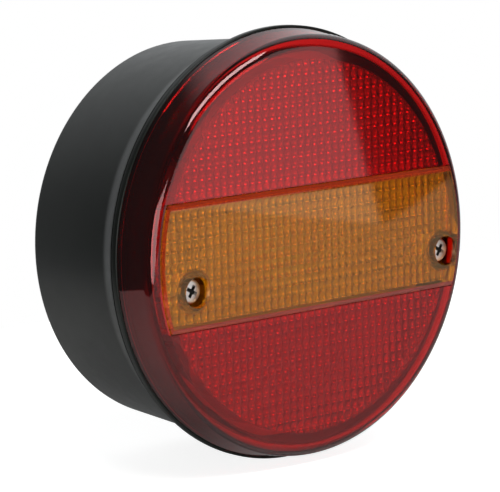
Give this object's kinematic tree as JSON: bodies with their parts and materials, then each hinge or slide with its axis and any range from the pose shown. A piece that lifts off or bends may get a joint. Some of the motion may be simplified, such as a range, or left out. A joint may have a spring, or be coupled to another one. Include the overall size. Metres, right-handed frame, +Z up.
{
  "type": "trailer tail light",
  "caption": "Round rear combination lamp for trailers: black cup housing, red stop and tail lenses, amber indicator band, bayonet bulbs inside.",
  "frame": {"origin": "centre of the housing's flat rear face, which lies on the vehicle's panel", "axes": "+Y into the panel along the lamp's axis, -Y the way the lens looks, +Z up, +X to the right of somebody facing the lens"},
  "size_m": [0.14, 0.088, 0.14],
  "materials": {
    "black_plastic": "moulded black plastic with a faint spark texture",
    "red_lens": "glossy translucent red acrylic with moulded optics inside",
    "amber_lens": "glossy translucent amber acrylic with moulded optics inside",
    "reflector": "white gloss moulding",
    "black_rubber": "matte black rubber",
    "seal_foam": "matte grey closed-cell foam strip",
    "zinc_steel": "bright zinc-plated steel",
    "spring_steel": "drawn spring wire",
    "brass": "plain brass",
    "clear_glass": "clear bulb glass",
    "amber_glass": "amber coated bulb glass",
    "tungsten": "drawn wire and glass bead",
    "nylon": "natural nylon",
    "fibre": "hard paper insulation",
    "wire_cover": "soft PVC wire cover"
  },
  "bodies": {
    "lamp_base": {"back_housing": "black_plastic", "mounting_stud_upper": "zinc_steel", "mounting_stud_lower": "zinc_steel", "cable_grommet": "black_rubber", "lens_seal": "seal_foam", "thread_insert_left": "brass", "thread_insert_right": "brass", "reflector_tray": "reflector", "upper_divider": "reflector", "lower_divider": "reflector", "earth_strip": "brass", "terminal_block": "nylon", "stop_socket_sleeve": "zinc_steel", "stop_socket_insulator": "fibre", "stop_contact_spring": "spring_steel", "stop_socket_bracket": "zinc_steel", "stop_bracket_rivet": "brass", "stop_terminal_tube": "brass", "stop_terminal_screw": "zinc_steel", "stop_feed_wire": "wire_cover", "indicator_socket_sleeve": "zinc_steel", "indicator_socket_insulator": "fibre", "indicator_contact_spring": "spring_steel", "indicator_socket_bracket": "zinc_steel", "indicator_bracket_rivet": "brass", "indicator_terminal_tube": "brass", "indicator_terminal_screw": "zinc_steel", "indicator_feed_wire": "wire_cover", "tail_socket_sleeve": "zinc_steel", "tail_socket_insulator": "fibre", "tail_contact_spring": "spring_steel", "tail_socket_bracket": "zinc_steel", "tail_bracket_rivet": "brass", "tail_terminal_tube": "brass", "tail_terminal_screw": "zinc_steel", "tail_feed_wire": "wire_cover"},
    "lens": {"red_lens": "red_lens", "amber_lens": "amber_lens"},
    "screw_washer_left": {"screw_washer_left": "black_rubber"},
    "lens_screw_left": {"lens_screw_left": "zinc_steel"},
    "screw_washer_right": {"screw_washer_right": "black_rubber"},
    "lens_screw_right": {"lens_screw_right": "zinc_steel"},
    "stop_contact": {"stop_contact_plunger": "brass"},
    "stop_bulb": {"stop_bulb_cap": "brass", "stop_bulb_contact": "zinc_steel", "stop_bulb_glass": "clear_glass", "stop_bulb_filament": "tungsten"},
    "indicator_contact": {"indicator_contact_plunger": "brass"},
    "indicator_bulb": {"indicator_bulb_cap": "brass", "indicator_bulb_contact": "zinc_steel", "indicator_bulb_glass": "amber_glass", "indicator_bulb_filament": "tungsten"},
    "tail_contact": {"tail_contact_plunger": "brass"},
    "tail_bulb": {"tail_bulb_cap": "brass", "tail_bulb_contact": "zinc_steel", "tail_bulb_glass": "clear_glass", "tail_bulb_filament": "tungsten"}
  },
  "joints": [
    {"name": "lens_removal", "type": "slide", "parent": "lamp_base", "child": "lens", "axis": [0, -1, 0], "range_m": [0, 0.09]},
    {"name": "screw_left_travel", "type": "slide", "parent": "lens", "child": "screw_washer_left", "axis": [0, -1, 0], "range_m": [0, 0.007]},
    {"name": "screw_left_turn", "type": "hinge", "parent": "screw_washer_left", "child": "lens_screw_left", "pos_m": [-0.05, -0.06, -0.008], "axis": [0, -1, 0], "range_deg": [0, 3601]},
    {"name": "screw_right_travel", "type": "slide", "parent": "lens", "child": "screw_washer_right", "axis": [0, -1, 0], "range_m": [0, 0.007]},
    {"name": "screw_right_turn", "type": "hinge", "parent": "screw_washer_right", "child": "lens_screw_right", "pos_m": [0.057, -0.06, -0.008], "axis": [0, -1, 0], "range_deg": [0, 3601]},
    {"name": "stop_bulb_push", "type": "slide", "parent": "lamp_base", "child": "stop_contact", "axis": [-1, 0, 0], "range_m": [0, 0.002], "stiffness_N_per_m": 1500, "deforming": ["stop_contact_spring"]},
    {"name": "stop_bulb_twist", "type": "hinge", "parent": "stop_contact", "child": "stop_bulb", "pos_m": [0, -0.034, 0.0375], "axis": [1, 0, 0], "range_deg": [0, 20]},
    {"name": "indicator_bulb_push", "type": "slide", "parent": "lamp_base", "child": "indicator_contact", "axis": [-1, 0, 0], "range_m": [0, 0.002], "stiffness_N_per_m": 1500, "deforming": ["indicator_contact_spring"]},
    {"name": "indicator_bulb_twist", "type": "hinge", "parent": "indicator_contact", "child": "indicator_bulb", "pos_m": [0, -0.034, 0], "axis": [1, 0, 0], "range_deg": [0, 20]},
    {"name": "tail_bulb_push", "type": "slide", "parent": "lamp_base", "child": "tail_contact", "axis": [-1, 0, 0], "range_m": [0, 0.002], "stiffness_N_per_m": 1500, "deforming": ["tail_contact_spring"]},
    {"name": "tail_bulb_twist", "type": "hinge", "parent": "tail_contact", "child": "tail_bulb", "pos_m": [0, -0.034, -0.0375], "axis": [1, 0, 0], "range_deg": [0, 20]}
  ],
  "couplings": [
    {"joint": "screw_left_turn", "follows": "screw_left_travel", "rad_per_m": 8976},
    {"joint": "screw_right_turn", "follows": "screw_right_travel", "rad_per_m": 8976}
  ]
}
